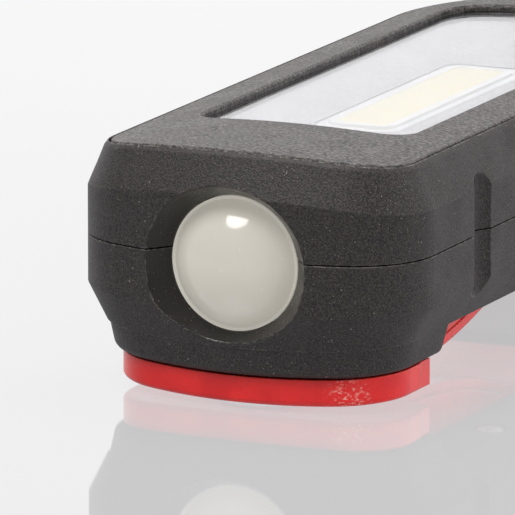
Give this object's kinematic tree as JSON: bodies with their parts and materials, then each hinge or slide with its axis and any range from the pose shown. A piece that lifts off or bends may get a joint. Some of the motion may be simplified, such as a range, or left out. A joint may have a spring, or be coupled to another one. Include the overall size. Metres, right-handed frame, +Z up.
{
  "type": "rechargeable work light",
  "caption": "Handheld rechargeable inspection light with a flat COB window, a domed nose torch, a fold-out magnetic stand and a hanging hook.",
  "frame": {"origin": "centre of the exposed face of the magnet in the stand's foot, on the surface that the light lies on", "axes": "+Z up through the lit face, -Y towards the nose with the torch, +Y along the handle, X across the light"},
  "size_m": [0.0534, 0.2364, 0.038],
  "materials": {
    "housing": "fine-grained matte, soft touch",
    "face_plate": "fine spark-textured matte",
    "clear_lens": "clear moulded polycarbonate",
    "seal_rubber": "soft black rubber",
    "white_reflector": "satin white",
    "white_board": "white solder mask on aluminium",
    "white_dam": "white silicone",
    "phosphor": "yellow phosphor in silicone",
    "aluminium": "milled",
    "zinc_screw": "zinc plated",
    "torch_glass": "polished clear dome",
    "black_plastic": "black glass-filled plastic",
    "bright_reflector": "bright warm grey",
    "battery_wrap": "shrink film",
    "nickel": "nickel plated",
    "circuit_board": "green solder mask",
    "chip_plastic": "epoxy",
    "button_rubber": "smooth rubber",
    "light_guide": "frosted clear",
    "steel_pin": "ground steel",
    "red_plastic": "glossy red",
    "magnet_nickel": "nickel plated"
  },
  "bodies": {
    "lamp": {"upper_shell": "housing", "lower_shell": "housing", "face_bezel": "face_plate", "window_lens": "clear_lens", "lens_gasket": "seal_rubber", "reflector_tray": "white_reflector", "cob_board": "white_board", "cob_dam": "white_dam", "cob_phosphor": "phosphor", "heat_sink": "aluminium", "sink_screws": "zinc_screw", "shell_screws": "zinc_screw", "board_screws": "zinc_screw", "torch_lens": "torch_glass", "torch_seal": "seal_rubber", "torch_holder": "black_plastic", "torch_reflector": "bright_reflector", "torch_star_board": "white_board", "torch_led": "phosphor", "battery_cell": "battery_wrap", "battery_tabs": "nickel", "control_board": "circuit_board", "board_parts": "chip_plastic", "tact_switch": "black_plastic", "charge_lights": "light_guide", "charge_board": "circuit_board", "usb_socket": "nickel", "usb_cover_pin": "steel_pin", "stand_pin": "steel_pin", "hook_pin": "steel_pin"},
    "button": {"power_button": "button_rubber"},
    "stand": {"stand": "red_plastic", "stand_magnet": "magnet_nickel"},
    "hook": {"hanging_hook": "black_plastic"},
    "cover": {"usb_cover": "button_rubber"}
  },
  "joints": [
    {"name": "stand_fold", "type": "hinge", "parent": "lamp", "child": "stand", "pos_m": [0, 0.08, 0.01255], "axis": [1, 0, 0], "range_deg": [0, 110]},
    {"name": "hook_fold", "type": "hinge", "parent": "lamp", "child": "hook", "pos_m": [0, 0.212, 0.0046], "axis": [1, 0, 0], "range_deg": [0, 180]},
    {"name": "button_press", "type": "slide", "parent": "lamp", "child": "button", "axis": [0, 0, -1], "range_m": [0, 0.0008], "stiffness_N_per_m": 1500},
    {"name": "port_cover", "type": "hinge", "parent": "lamp", "child": "cover", "pos_m": [0, 0.2197, 0.0159], "axis": [-1, 0, 0], "range_deg": [0, 90]}
  ]
}
